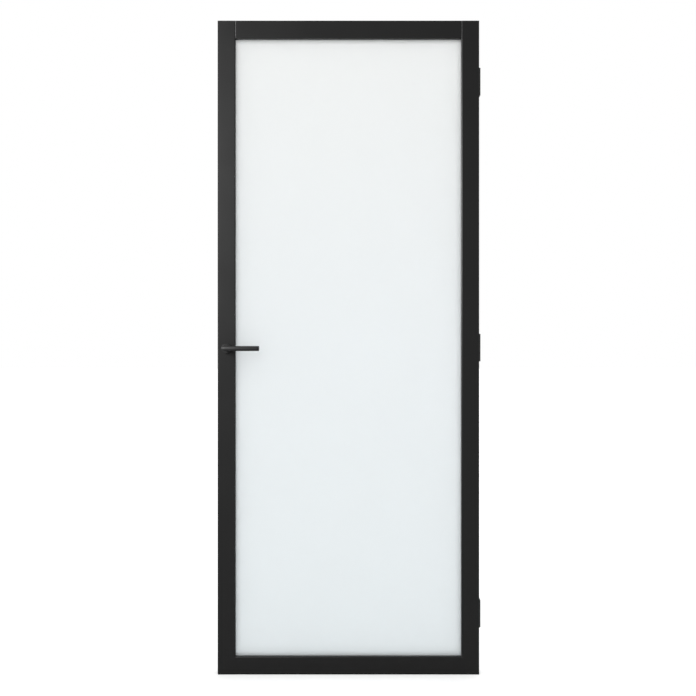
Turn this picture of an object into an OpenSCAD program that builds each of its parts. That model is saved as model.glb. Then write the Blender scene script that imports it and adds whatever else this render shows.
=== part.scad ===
// Glass door leaf: slim black aluminium stiles and rails round one pane of satin glass,
// a lever set on a flush magnetic latch, and three butt hinges.
// X runs across the leaf, Y through it (the hinge side is +Y), Z up from its bottom edge.

/* [Leaf] */
// Width of the leaf
leaf_w = 840; // [700:5:1200]
// Height of the leaf
leaf_h = 2100; // [1700:5:2600]
// Thickness of the leaf
leaf_t = 40; // [38:0.5:56]

/* [Frame profile] */
// Face width of the stiles and rails
face_w = 56.5; // [55:0.5:80]
// Front, back and groove walls of the profile
wall = 2; // [1.6:0.1:2.6]
// Outer edge wall, which carries the hinges and the lock
edge_wall = 4.5; // [4:0.1:6]
// Depth of the glazing groove
groove_d = 15; // [12:0.5:16]
// Chamfer on the inner edges and at the top joints
joint_c = 2; // [0.5:0.1:3]
// Chamfer on the outer edges
outer_c = 1; // [0.3:0.1:1.5]
// Thickness of the plates that close the stile ends
cap_t = 1.5; // [1:0.1:3]
// Depth of the end cap's plugs in the stile
cap_plug = 8; // [5:0.5:12]

/* [Corner joints] */
// Length of a corner cleat inside the rail
cleat_len = 50; // [40:1:90]
// Diameter of the stile-to-cleat screws
cleat_screw_d = 6; // [5:0.5:8]
// Length of the stile-to-cleat screws
cleat_screw_len = 32; // [28:1:40]
// Diameter of the access holes in the stile's edge
access_d = 12; // [11:0.5:14]
// Diameter of the rail-to-cleat screws
rail_screw_d = 4; // [3:0.5:5]

/* [Glazing] */
// Thickness of the glass
glass_t = 8; // [6:0.5:10]
// Thickness of the rubber on each face of the glass
gasket_t = 4; // [3:0.5:6]
// Gap between the glass and the bottom of its groove
glass_gap = 3; // [2:0.5:4]
// Length of a setting block or spacer
block_len = 100; // [50:5:150]

/* [Lever set] */
// Height of the lever's axis over the bottom of the leaf
lever_z = 1047; // [850:1:1200]
// Diameter of the lever's round bar
lever_d = 16; // [14:0.5:18]
// From the axis to the tip of the grip
lever_len = 110; // [90:1:150]
// From the leaf's face to the middle of the grip
lever_reach = 50; // [42:1:70]
// Diameter of the rose
rose_d = 30; // [29:0.5:40]
// Height of the rose over the leaf's face
rose_h = 8; // [7.5:0.5:12]
// Width across the flats of the square spindle
spindle_s = 8; // [7:0.5:8]
// How far the spindle reaches past each face of the leaf
spindle_out = 28; // [20:1:36]

/* [Lock] */
// Thickness of the lock case
case_t = 15; // [14:0.5:18]
// Sheet thickness of the lock case and its cover
sheet = 1.2; // [1:0.1:1.5]
// Thickness of the faceplate
plate_t = 3; // [2:0.5:3]
// Height of the faceplate
plate_h = 110; // [100:1:160]
// Width of the faceplate
plate_w = 20; // [18:1:24]
// Throw of the latch bolt
throw = 11; // [8:0.5:11]
// Height of the latch bolt
bolt_h = 15; // [12:0.5:17]
// Turn of the lever, in degrees
lever_turn = 45; // [40:1:45]

/* [Hinges] */
// Height of a hinge
hinge_h = 89; // [76:1:120]
// Thickness of a hinge leaf
hinge_t = 2.5; // [2.5:0.1:3]
// Width of a hinge leaf across the door's edge
hinge_w = 22; // [22:1:32]
// Gap between the closed hinge leaves
hinge_gap = 0.8; // [0.8:0.1:4]
// Diameter of the knuckles
knuckle_d = 13; // [12:0.5:14]
// Diameter of the hinge pin
pin_d = 7; // [6:0.5:8]
// From the leaf's back face to the pin's axis
pin_off = 7.5; // [7.5:0.1:10]
// From the leaf's bottom or top edge to the middle of the nearest hinge
hinge_inset = 190; // [120:5:300]
// Diameter of the screws that hold a hinge to the door
hinge_screw_d = 4.5; // [4:0.5:4.5]
// Diameter of the screws that hold a hinge to the jamb
jamb_screw_d = 4; // [4:0.5:4.5]
// Distance between the screw holes across the hinge leaf
screw_dy = 12; // [11:1:16]
// Distance between the screw holes along the hinge leaf
screw_dz = 60; // [50:1:80]

/* [Hidden] */
$fn = 48;
eps = 0.01;              // overshoot of a cut past a face
slip = 0.1;              // fitted pieces in one body
play = 0.3;              // pieces that move past each other
run = 0.05;              // radial clearance of a shaft in its bore

// leaf
edge = leaf_w / 2;
half_t = leaf_t / 2;
inner = edge - face_w;                  // inner edge of a stile
floor_x = inner + groove_d;             // bottom of a stile's groove
groove_w = glass_t + 2 * gasket_t;
chamber_lo = groove_d + wall;           // main chamber, from the profile's inner edge
chamber_hi = face_w - edge_wall;
chamber_t = leaf_t - 2 * wall;
lip_t = (leaf_t - groove_w) / 2;
top_inner = leaf_h - face_w;

// corner joints
cleat_lo = chamber_lo + slip;
cleat_hi = chamber_hi - slip;
cleat_mid = (cleat_lo + cleat_hi) / 2;
cleat_screw_pitch = 15;
cleat_head_d = 9;
cleat_head_h = 4;
cleat_screw_at = [-cleat_screw_pitch / 2, cleat_screw_pitch / 2];
rail_screw_at = [28, 43];               // along the cleat, from the stile
rail_screw_len = 13;
csk = 2;                                // a countersunk head is this many shank diameters wide

// glazing
pane_x = floor_x - glass_gap;
pane_z0 = face_w - groove_d + glass_gap;
pane_z1 = leaf_h - pane_z0;
gasket_d = groove_d - glass_gap;
gasket_c = 1.2;

// lever set
lever_x = -(edge - face_w / 2);
grip_y = half_t + lever_reach;
neck_end = half_t + 1;                  // inner end of the lever's neck
base_t = 4;
base_d = rose_d - 2.2;
cover_wall = 1;
bush_d = lever_d + 2.4;
bush_len = 5;
rose_screw_d = 2;
rose_screw_r = (base_d + bush_d) / 4 + 0.1;
rose_screw_len = 10;
rose_spring_wire = 0.8;
rose_spring_r = rose_screw_r;
rose_spring_pitch = 1;
rose_spring_turns = 1.7;
grub_d = 5;
grub_at = half_t + 14;
spindle_hole_d = 15;

// lock: x from the lever's axis, z over it
hub_d = 15;
journal_d = 13;
arm_w = 4;
arm_t = 5;
arm_r = 16;                             // from the axis to the middle of the arm's round tip
arm_rest = -35.5;                       // lean of the arm at rest
case_x0 = -edge + plate_t;
case_x1 = -floor_x - wall - 1.5;
case_z0 = -18;
case_z1 = 48;
inside_t = case_t - 2 * sheet;
bolt_t = inside_t - 2 * play;
carriage_z = arm_r + arm_w / 2 + 0.6;   // underside of the carriage's lower bar
carriage_bar = 2.1;
bolt_z = carriage_z + carriage_bar + play;
catch_z = 12.5;                         // foot of the carriage's catch
catch_x = arm_r * sin(arm_rest + lever_turn) + arm_w / 2 + play - throw;
catch_t = 2.9;
carriage_x0 = case_x0 + sheet + play;
carriage_x1 = lever_x + catch_x + catch_t;
rear_t = 1.6;                           // rear wall of the carriage
tooth_t = 2.3;
tooth_h = 4.2;
tooth_w = 4.4;
bolt_x1 = carriage_x1 - rear_t - play;
pocket_x1 = bolt_x1 - 2.2;
spring_wire = 0.5;
spring_d = 3.6;
spring_turns = 5;
boss_d = 5;
boss_in = 3.2;
boss_at = [[1, case_z0 + 5.5], [-1, case_z0 + 5.5],    // side of the case, height
           [1, case_z1 - 4.7], [-1, case_z1 - 4.7]];
cover_screw_d = 2.5;
plate_mid = (case_z0 + case_z1) / 2;
plate_screw_d = 3.5;
plate_screw_len = 9;
plate_screw_z = plate_h / 2 - 10;

// hinges
hinge_x = edge + hinge_gap / 2;
pin_y = half_t + pin_off;
plate_y0 = half_t - hinge_w;
plate_y1 = half_t + 0.4;
screw_y = half_t - hinge_w / 2;
ring_t = 1;
ring_gap = 0.1;
knuckle_h = (hinge_h - 2 * ring_t - 2 * ring_gap - 2 * play) / 5;
door_z = [-hinge_h / 2 + knuckle_h + ring_t + ring_gap,
          -hinge_h / 2 + 3 * knuckle_h + 2 * ring_t + 2 * ring_gap + play];
frame_z = [-hinge_h / 2, door_z[0] + knuckle_h + play, door_z[1] + knuckle_h + play];
ring_z = [for (z = door_z) z - ring_gap - ring_t];
pin_head = 2.5;
backing_t = 4;
backing_h = 80;
hinge_screw_len = 9;
hinge_at = [hinge_inset, leaf_h / 2, leaf_h - hinge_inset];

black = [0.16, 0.16, 0.165];
zinc = [0.72, 0.73, 0.75];
steel = [0.55, 0.56, 0.58];
rubber = [0.07, 0.07, 0.07];

// shapes that several pieces share

// a cylinder along Y, from y0 to y1
module bar_y(x, z, d, y0, y1)
    translate([x, y0, z]) rotate([-90, 0, 0]) cylinder(d = d, h = y1 - y0);

// a cylinder along X, from x0 to x1
module bar_x(y, z, d, x0, x1)
    translate([x0, y, z]) rotate([0, 90, 0]) cylinder(d = d, h = x1 - x0);

// a box from one corner to the other
module block(lo, hi)
    translate(lo) cube(hi - lo);

// a countersunk screw along +Z, its head flush at z = 0 and its shank below
module csk_screw(d, len) {
    head = csk * d;
    rotate_extrude() polygon([[0, 0], [head / 2, 0], [d / 2, -(head - d) / 2],
                              [d / 2, -len], [0, -len]]);
}

// the hole for such a screw, with its clearance
module csk_hole(d, len) {
    head = csk * d + 2 * slip;
    bore = d + 2 * slip;
    rotate_extrude() polygon([[0, eps], [head / 2, eps], [head / 2, 0],
                              [bore / 2, -(head - bore) / 2], [bore / 2, -len], [0, -len]]);
}

// the profile's outline and cavities: x from its inner edge, y through the leaf
module outline()
    polygon([[0, -half_t], [face_w - outer_c, -half_t], [face_w, -half_t + outer_c],
             [face_w, half_t - outer_c], [face_w - outer_c, half_t], [0, half_t]]);

module cavities(shrink) {
    translate([chamber_lo + shrink, -chamber_t / 2 + shrink])
        square([chamber_hi - chamber_lo - 2 * shrink, chamber_t - 2 * shrink]);
    for (side = [0, 1]) mirror([0, side])
        translate([wall + shrink, groove_w / 2 + wall + shrink])
            square([groove_d - wall - 2 * shrink, lip_t - 2 * wall - 2 * shrink]);
}

module profile() difference() {
    outline();
    cavities(0);
    translate([-eps, -groove_w / 2]) square([groove_d + eps, groove_w]);
}

// a square bar on its edge, which cuts a chamfer along a Z edge
module chamfer_z(x, y, z0, z1)
    translate([x, y, z0]) rotate([0, 0, 45])
        translate([-joint_c / sqrt(2), -joint_c / sqrt(2), 0])
            cube([joint_c * sqrt(2), joint_c * sqrt(2), z1 - z0]);

module chamfer_x(y, z, x0, x1)
    translate([x0, y, z]) rotate([45, 0, 0])
        translate([0, -joint_c / sqrt(2), -joint_c / sqrt(2)])
            cube([x1 - x0, joint_c * sqrt(2), joint_c * sqrt(2)]);

// a tube of round wire wound on an axis along Z
function ring_points(r, wire, rise, turns, steps, sides) = [
    for (i = [0 : steps]) for (k = [0 : sides - 1])
        let (a = 360 * turns * i / steps, b = 360 * k / sides, q = r + wire / 2 * cos(b))
        [q * cos(a), q * sin(a), rise * turns * i / steps + wire / 2 * sin(b)]];

module coil(r, wire, rise, turns, per_turn, sides) {
    steps = round(turns * per_turn);
    polyhedron(
        points = ring_points(r, wire, rise, turns, steps, sides),
        faces = concat(
            [[for (k = [sides - 1 : -1 : 0]) k]],
            [[for (k = [0 : sides - 1]) steps * sides + k]],
            [for (i = [0 : steps - 1]) for (k = [0 : sides - 1])
                let (n = (k + 1) % sides, p = i * sides, q = p + sides)
                each [[p + k, p + n, q + n], [p + k, q + n, q + k]]]));
}

// ---- frame of the leaf ----

// a stile with its outer edge at +X
module stile() difference() {
    translate([inner, 0, cap_t]) linear_extrude(leaf_h - 2 * cap_t) profile();
    for (y = [-half_t, half_t]) chamfer_z(inner, y, face_w, leaf_h);
    for (z = [face_w - cleat_mid, top_inner + cleat_mid], dz = cleat_screw_at) {
        bar_x(0, z + dz, cleat_screw_d + 2 * slip, floor_x - eps, floor_x + wall + eps);
        bar_x(0, z + dz, access_d, edge - edge_wall - eps, edge + eps);
    }
}

module lock_stile() color(black) difference() {
    mirror([1, 0, 0]) stile();
    translate([0, 0, lever_z]) {
        block([-edge - eps, -plate_w / 2 - slip, plate_mid - plate_h / 2 - slip],
              [case_x0, plate_w / 2 + slip, plate_mid + plate_h / 2 + slip]);
        block([-edge - eps, -case_t / 2 - slip, case_z0 - slip],
              [-edge + edge_wall + eps, case_t / 2 + slip, case_z1 + slip]);
        for (side = [-1, 1]) {
            bar_x(0, plate_mid + side * plate_screw_z, plate_screw_d + 2 * slip,
                  -edge, -edge + edge_wall + eps);
            for (r = [-1, 1])
                bar_y(lever_x, r * rose_screw_r, rose_screw_d + 2 * slip,
                      side > 0 ? half_t - wall - eps : -half_t - eps,
                      side > 0 ? half_t + eps : -half_t + wall + eps);
        }
        bar_y(lever_x, 0, spindle_hole_d, -half_t - eps, half_t + eps);
    }
}

module hinge_stile() color(black) difference() {
    stile();
    for (z = hinge_at) translate([0, 0, z]) {
        block([edge - hinge_t, plate_y0 - slip, -hinge_h / 2 - slip],
              [edge + eps, half_t + eps, hinge_h / 2 + slip]);
        for (y = [-1, 1], s = [-1, 1])
            bar_x(screw_y + y * screw_dy / 2, s * screw_dz / 2, hinge_screw_d + 2 * slip,
                  edge - edge_wall - eps, edge);
    }
}

// a rail with its outer edge at +Z, as it lies at the top
module rail(chamfered) difference() {
    translate([-inner, 0, top_inner]) rotate([90, 0, 90])
        linear_extrude(2 * inner) rotate([0, 0, 90]) mirror([0, 1, 0]) profile();
    for (y = [-half_t, half_t]) {
        chamfer_x(y, top_inner, -inner - eps, inner + eps);
        if (chamfered) for (x = [-inner, inner]) chamfer_z(x, y, top_inner - eps, leaf_h + eps);
    }
    for (side = [0, 1], at = rail_screw_at) mirror([side, 0, 0])
        translate([inner - at, 0, top_inner + groove_d])
            mirror([0, 0, 1]) csk_hole(rail_screw_d, 2 * wall);
}

module top_rail() color(black) rail(true);

module bottom_rail() color(black) translate([0, 0, leaf_h]) mirror([0, 0, 1]) rail(false);

// puts a piece made for the top right corner in each of the corners
module at_corner(left, bottom)
    translate([0, 0, bottom ? leaf_h : 0]) mirror([0, 0, bottom ? 1 : 0])
        mirror([left ? 1 : 0, 0, 0]) children();

module cleat() color(zinc) difference() {
    union() {
        block([inner - cleat_len, -chamber_t / 2 + slip, top_inner + cleat_lo],
              [inner, chamber_t / 2 - slip, top_inner + cleat_hi]);
        block([inner - eps, -groove_w / 2 + slip, top_inner + cleat_lo],
              [floor_x, groove_w / 2 - slip, top_inner + cleat_hi]);
    }
    for (dz = cleat_screw_at)
        bar_x(0, top_inner + cleat_mid + dz, cleat_screw_d + slip,
              floor_x + wall - cleat_screw_len - 1, floor_x + eps);
    for (at = rail_screw_at)
        translate([inner - at, 0, top_inner + groove_d])
            cylinder(d = rail_screw_d + slip, h = rail_screw_len + 1);
}

module top_left_cleat() at_corner(true, false) cleat();
module top_right_cleat() at_corner(false, false) cleat();
module bottom_left_cleat() at_corner(true, true) cleat();
module bottom_right_cleat() at_corner(false, true) cleat();

module cleat_screws() color(zinc)
    for (left = [true, false], bottom = [true, false], dz = cleat_screw_at)
        at_corner(left, bottom) translate([0, 0, top_inner + cleat_mid + dz]) {
            seat = floor_x + wall;
            difference() {
                bar_x(0, 0, cleat_head_d, seat, seat + cleat_head_h);
                translate([seat + 1.5, 0, 0]) rotate([0, 90, 0])
                    cylinder(d = 5.8, h = cleat_head_h, $fn = 6);
            }
            bar_x(0, 0, cleat_screw_d, seat - cleat_screw_len, seat + eps);
        }

module rail_screws() color(zinc)
    for (left = [true, false], bottom = [true, false], at = rail_screw_at)
        at_corner(left, bottom) translate([inner - at, 0, top_inner + groove_d])
            mirror([0, 0, 1]) csk_screw(rail_screw_d, rail_screw_len);

module access_plugs() color(black)
    for (left = [true, false], bottom = [true, false], dz = cleat_screw_at)
        at_corner(left, bottom)
            bar_x(0, top_inner + cleat_mid + dz, access_d - slip, edge - edge_wall, edge);

module end_cap() color(black) translate([inner, 0, 0]) {
    difference() {
        translate([0, 0, leaf_h - cap_t]) linear_extrude(cap_t) outline();
        for (y = [-half_t, half_t]) chamfer_z(0, y, leaf_h - 2 * cap_t, leaf_h + eps);
    }
    translate([0, 0, leaf_h - cap_t - cap_plug]) linear_extrude(cap_plug + eps) cavities(slip);
}

// the bottom caps keep a square inner edge, flush with the bottom rail
module low_cap() color(black) translate([inner, 0, 0]) {
    linear_extrude(cap_t) outline();
    translate([0, 0, cap_t - eps]) linear_extrude(cap_plug + eps) cavities(slip);
}

module top_left_cap() at_corner(true, false) end_cap();
module top_right_cap() at_corner(false, false) end_cap();
module bottom_left_cap() mirror([1, 0, 0]) low_cap();
module bottom_right_cap() low_cap();

// ---- glazing ----

module glass_pane() color([0.88, 0.94, 0.95, 0.6])
    block([-pane_x, -glass_t / 2, pane_z0], [pane_x, glass_t / 2, pane_z1]);

// a strip's section: x from the visible edge into the groove, y from the glass to the lip
module gasket_section()
    polygon([[0, gasket_c], [gasket_c, 0], [gasket_d, 0], [gasket_d, gasket_t],
             [0, gasket_t]]);

module gasket_frame() {
    for (side = [0, 1]) mirror([side, 0, 0]) translate([inner, glass_t / 2, pane_z0])
        linear_extrude(pane_z1 - pane_z0) gasket_section();
    for (z = [[top_inner, 0], [face_w, 1]]) translate([-inner, glass_t / 2, z[0]])
        mirror([0, 0, z[1]]) rotate([90, 0, 90])
            linear_extrude(2 * inner) rotate([0, 0, 90]) mirror([0, 1, 0]) gasket_section();
}

module back_gasket() color(rubber) gasket_frame();
module front_gasket() color(rubber) mirror([0, 1, 0]) gasket_frame();

// blocks under the glass, a quarter of the pane in from its sides
module setting_blocks() color(rubber)
    for (x = [-pane_x / 2, pane_x / 2])
        block([x - block_len / 2, -groove_w / 2 + 1, face_w - groove_d],
              [x + block_len / 2, groove_w / 2 - 1, pane_z0]);

module edge_spacers() color(rubber) {
    for (side = [0, 1], z = [leaf_h / 8, leaf_h / 2, 7 * leaf_h / 8]) mirror([side, 0, 0])
        block([pane_x, -groove_w / 2 + 1, z - block_len / 2],
              [floor_x, groove_w / 2 - 1, z + block_len / 2]);
    for (x = [-pane_x / 2, pane_x / 2])
        block([x - block_len / 2, -groove_w / 2 + 1, pane_z1],
              [x + block_len / 2, groove_w / 2 - 1, top_inner + groove_d]);
}

// ---- lock ----

// a place in the lock case's corner where a cover screw goes
module at_boss(b)
    translate([b[0] > 0 ? case_x1 - sheet - boss_in : case_x0 + sheet + boss_in,
               0, lever_z + b[1]]) children();

// the way for the bolt through a wall
module bolt_way(x0, x1)
    block([x0 - eps, -bolt_t / 2 - play, -play], [x1 + eps, bolt_t / 2 + play, bolt_h + play]);

module lock_case() color(steel) {
    difference() {
        translate([0, 0, lever_z])
            block([case_x0, -inside_t / 2, case_z0], [case_x1, case_t / 2, case_z1]);
        translate([0, 0, lever_z])
            block([case_x0 + sheet, -case_t, case_z0 + sheet],
                  [case_x1 - sheet, inside_t / 2, case_z1 - sheet]);
        bar_y(lever_x, lever_z, journal_d + 2 * run, 0, case_t);
        translate([0, 0, lever_z + bolt_z]) bolt_way(case_x0, case_x0 + sheet);
    }
    for (b = boss_at) at_boss(b) difference() {
        bar_y(0, 0, boss_d, -inside_t / 2, inside_t / 2 + eps);
        bar_y(0, 0, cover_screw_d + slip, -inside_t, 0);
    }
}

module lock_cover() color(steel) difference() {
    translate([0, 0, lever_z])
        block([case_x0, -case_t / 2, case_z0], [case_x1, -inside_t / 2, case_z1]);
    bar_y(lever_x, lever_z, journal_d + 2 * run, -case_t, 0);
    for (b = boss_at) at_boss(b)
        translate([0, -case_t / 2, 0]) rotate([90, 0, 0]) csk_hole(cover_screw_d, 2);
}

module cover_screws() color(zinc)
    for (b = boss_at) at_boss(b)
        translate([0, -case_t / 2, 0]) rotate([90, 0, 0]) csk_screw(cover_screw_d, 7);

module lock_faceplate() color(steel) difference() {
    translate([0, 0, lever_z + plate_mid])
        block([-edge, -plate_w / 2, -plate_h / 2], [case_x0, plate_w / 2, plate_h / 2]);
    translate([0, 0, lever_z + bolt_z]) bolt_way(-edge, case_x0);
    for (s = [-1, 1])
        translate([-edge, 0, lever_z + plate_mid + s * plate_screw_z])
            rotate([0, -90, 0]) csk_hole(plate_screw_d, 2 * plate_t);
}

module faceplate_screws() color(zinc)
    for (s = [-1, 1])
        translate([-edge, 0, lever_z + plate_mid + s * plate_screw_z])
            rotate([0, -90, 0]) csk_screw(plate_screw_d, plate_screw_len);

// hub with a square hole and one arm, which leans towards the faceplate at rest
module follower() color(zinc) translate([lever_x, 0, lever_z]) difference() {
    union() {
        bar_y(0, 0, hub_d, -inside_t / 2 + 0.2, inside_t / 2 - 0.2);
        bar_y(0, 0, journal_d, -case_t / 2, case_t / 2);
        rotate([0, arm_rest, 0]) {
            block([-arm_w / 2, -arm_t / 2, 0], [arm_w / 2, arm_t / 2, arm_r]);
            bar_y(0, arm_r, arm_w, -arm_t / 2, arm_t / 2);
        }
    }
    block([-spindle_s / 2 - run, -case_t, -spindle_s / 2 - run],
          [spindle_s / 2 + run, case_t, spindle_s / 2 + run]);
}

// slides with the follower's arm and holds the bolt between its bars
module latch_carriage() color(steel) translate([0, 0, lever_z]) {
    top = bolt_z + bolt_h + play;
    for (z = [carriage_z, top])
        block([carriage_x0, -bolt_t / 2, z], [carriage_x1, bolt_t / 2, z + carriage_bar]);
    block([carriage_x1 - rear_t, -bolt_t / 2, carriage_z + eps],
          [carriage_x1, bolt_t / 2, top + eps]);
    block([carriage_x0, -tooth_w / 2, carriage_z + eps],
          [carriage_x0 + tooth_t, tooth_w / 2, bolt_z + tooth_h]);
    block([lever_x + catch_x, -bolt_t / 2, catch_z],
          [carriage_x1, bolt_t / 2, carriage_z + eps]);
}

// flush in the faceplate at rest; a magnet in the strike draws it out along its pocket
module latch_bolt() color(zinc) translate([0, 0, lever_z + bolt_z]) difference() {
    block([-edge, -bolt_t / 2, 0], [bolt_x1, bolt_t / 2, bolt_h]);
    block([carriage_x0 - play, -tooth_w / 2 - play, -eps],
          [pocket_x1, tooth_w / 2 + play, tooth_h + play]);
}

// between the carriage's tooth and the end of the bolt's pocket: pushes the bolt back in
module bolt_spring() color(steel)
    translate([carriage_x0 + tooth_t + spring_wire / 2, 0, lever_z + bolt_z + tooth_h / 2])
        rotate([0, 90, 0]) {
            room = pocket_x1 - carriage_x0 - tooth_t - spring_wire;
            coil((spring_d - spring_wire) / 2, spring_wire, room / spring_turns,
                 spring_turns, 16, 6);
        }

// ---- lever set ----

module spindle() color(zinc) translate([lever_x, 0, lever_z])
    block([-spindle_s / 2, -half_t - spindle_out, -spindle_s / 2],
          [spindle_s / 2, half_t + spindle_out, spindle_s / 2]);

// one side of the mitre plane, which runs through the corner of the L
module mitre_side(side)
    translate([0, grip_y, 0]) rotate([0, 0, 45])
        translate([side > 0 ? 0 : -2 * lever_len, -2 * lever_len, -lever_d])
            cube([2 * lever_len, 4 * lever_len, 2 * lever_d]);

// an L of round bar with a mitred corner, on the +Y side
module lever() color(black) translate([lever_x, 0, lever_z]) difference() {
    union() {
        intersection() {
            bar_y(0, 0, lever_d, neck_end, grip_y + lever_d);
            mitre_side(-1);
        }
        intersection() {
            bar_x(grip_y, 0, lever_d, -lever_d, lever_len);
            mitre_side(1);
        }
    }
    block([-spindle_s / 2 - run, neck_end - eps, -spindle_s / 2 - run],
          [spindle_s / 2 + run, half_t + spindle_out + 1, spindle_s / 2 + run]);
    translate([0, grub_at, -lever_d]) cylinder(d = grub_d, h = lever_d);
}

module back_lever() lever();
module front_lever() mirror([0, 1, 0]) lever();

module grub_screws() color(steel)
    for (side = [-1, 1]) translate([lever_x, side * grub_at, lever_z - lever_d / 2 + 0.4])
        difference() {
            cylinder(d = grub_d - slip, h = (lever_d - spindle_s) / 2 - 0.4);
            translate([0, 0, -eps]) cylinder(d = 2.9, h = 2, $fn = 6);
        }

module rose_base() color(zinc) translate([lever_x, 0, lever_z]) difference() {
    bar_y(0, 0, base_d, half_t, half_t + base_t);
    bar_y(0, 0, bush_d + slip, half_t - eps, half_t + base_t + eps);
    for (r = [-1, 1]) translate([0, half_t + base_t, r * rose_screw_r])
        rotate([-90, 0, 0]) csk_hole(rose_screw_d, 2 * base_t);
}

module back_rose_base() rose_base();
module front_rose_base() mirror([0, 1, 0]) rose_base();

module rose_cover() color(black) translate([lever_x, 0, lever_z]) difference() {
    bar_y(0, 0, rose_d, half_t, half_t + rose_h);
    bar_y(0, 0, rose_d - 2 * cover_wall, half_t - eps, half_t + rose_h - cover_wall);
    bar_y(0, 0, lever_d + 2 * play, half_t, half_t + rose_h + eps);
}

module back_rose_cover() rose_cover();
module front_rose_cover() mirror([0, 1, 0]) rose_cover();

module bush() color(rubber) translate([lever_x, 0, lever_z]) difference() {
    bar_y(0, 0, bush_d, half_t, half_t + bush_len);
    bar_y(0, 0, lever_d + 2 * run, half_t - eps, half_t + bush_len + eps);
}

module back_bush() bush();
module front_bush() mirror([0, 1, 0]) bush();

module rose_screws() color(zinc)
    for (side = [0, 1], r = [-1, 1]) mirror([0, side, 0])
        translate([lever_x, half_t + base_t, lever_z + r * rose_screw_r])
            rotate([-90, 0, 0]) csk_screw(rose_screw_d, rose_screw_len);

module rose_spring() color(steel)
    translate([lever_x, half_t + base_t + rose_spring_wire, lever_z]) rotate([-90, 0, 0])
        coil(rose_spring_r, rose_spring_wire, rose_spring_pitch, rose_spring_turns, 24, 6);

module back_rose_spring() rose_spring();
module front_rose_spring() mirror([0, 1, 0]) rose_spring();

// ---- hinges ----

// screw holes of a hinge leaf, countersunk on the face at +X
module leaf_holes(face_x, screw_d)
    for (y = [-1, 1], s = [-1, 1])
        translate([face_x, screw_y + y * screw_dy / 2, s * screw_dz / 2])
            rotate([0, 90, 0]) csk_hole(screw_d, 2 * hinge_t);

// one leaf of a hinge with its outer face at x = 0 and the gap beyond it
module hinge_leaf(knuckles, screw_d) color(black) difference() {
    union() {
        block([edge - hinge_t, plate_y0, -hinge_h / 2], [edge, plate_y1, hinge_h / 2]);
        for (z = knuckles) translate([0, 0, z]) {
            block([edge - hinge_t, plate_y1 - eps, 0], [edge, pin_y, knuckle_h]);
            translate([hinge_x, pin_y, 0]) cylinder(d = knuckle_d, h = knuckle_h);
        }
    }
    translate([hinge_x, pin_y, -hinge_h]) cylinder(d = pin_d + 2 * run, h = 2 * hinge_h);
    leaf_holes(edge, screw_d);
}

// the leaf on the jamb mirrors the door's, about the pin's axis
module door_leaf(z) translate([0, 0, z]) hinge_leaf(door_z, hinge_screw_d);
module frame_leaf(z) translate([2 * hinge_x, 0, z]) mirror([1, 0, 0])
    hinge_leaf(frame_z, jamb_screw_d);

module hinge_pin(z) color(black) translate([hinge_x, pin_y, z]) {
    cylinder(d = pin_d, h = hinge_h + 2 * eps, center = true);
    for (end = [0, 1]) mirror([0, 0, end]) translate([0, 0, hinge_h / 2])
        rotate_extrude() intersection() {
            circle(d = knuckle_d);
            square([knuckle_d, pin_head]);
        }
}

module rings(z) color(zinc)
    for (r = ring_z) translate([hinge_x, pin_y, z + r]) difference() {
        cylinder(d = knuckle_d, h = ring_t);
        translate([0, 0, -eps]) cylinder(d = pin_d + 2 * run, h = ring_t + 2 * eps);
    }

module backing(z) color(steel) translate([0, 0, z]) difference() {
    block([edge - edge_wall - backing_t, plate_y0 + slip, -backing_h / 2],
          [edge - edge_wall, chamber_t / 2 - slip, backing_h / 2]);
    for (y = [-1, 1], s = [-1, 1])
        bar_x(screw_y + y * screw_dy / 2, s * screw_dz / 2, hinge_screw_d + slip,
              edge - edge_wall - backing_t - eps, edge);
}

module bottom_frame_leaf() frame_leaf(hinge_at[0]);
module middle_frame_leaf() frame_leaf(hinge_at[1]);
module top_frame_leaf() frame_leaf(hinge_at[2]);
module bottom_door_leaf() door_leaf(hinge_at[0]);
module middle_door_leaf() door_leaf(hinge_at[1]);
module top_door_leaf() door_leaf(hinge_at[2]);
module bottom_hinge_pin() hinge_pin(hinge_at[0]);
module middle_hinge_pin() hinge_pin(hinge_at[1]);
module top_hinge_pin() hinge_pin(hinge_at[2]);
module bottom_rings() rings(hinge_at[0]);
module middle_rings() rings(hinge_at[1]);
module top_rings() rings(hinge_at[2]);
module bottom_backing() backing(hinge_at[0]);
module middle_backing() backing(hinge_at[1]);
module top_backing() backing(hinge_at[2]);

module hinge_screws() color(zinc)
    for (z = hinge_at, y = [-1, 1], s = [-1, 1])
        translate([edge, screw_y + y * screw_dy / 2, z + s * screw_dz / 2])
            rotate([0, 90, 0]) csk_screw(hinge_screw_d, hinge_screw_len);

lock_stile();
hinge_stile();
top_rail();
bottom_rail();
top_left_cleat();
top_right_cleat();
bottom_left_cleat();
bottom_right_cleat();
cleat_screws();
rail_screws();
access_plugs();
top_left_cap();
top_right_cap();
bottom_left_cap();
bottom_right_cap();
glass_pane();
front_gasket();
back_gasket();
setting_blocks();
edge_spacers();
lock_case();
lock_cover();
cover_screws();
lock_faceplate();
faceplate_screws();
follower();
latch_carriage();
latch_bolt();
bolt_spring();
spindle();
front_lever();
back_lever();
grub_screws();
front_rose_base();
back_rose_base();
front_rose_cover();
back_rose_cover();
front_bush();
back_bush();
rose_screws();
front_rose_spring();
back_rose_spring();
bottom_frame_leaf();
middle_frame_leaf();
top_frame_leaf();
bottom_door_leaf();
middle_door_leaf();
top_door_leaf();
bottom_hinge_pin();
middle_hinge_pin();
top_hinge_pin();
bottom_rings();
middle_rings();
top_rings();
hinge_screws();
bottom_backing();
middle_backing();
top_backing();
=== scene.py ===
import math

import bmesh
import bpy
from mathutils import Matrix, Vector


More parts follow.
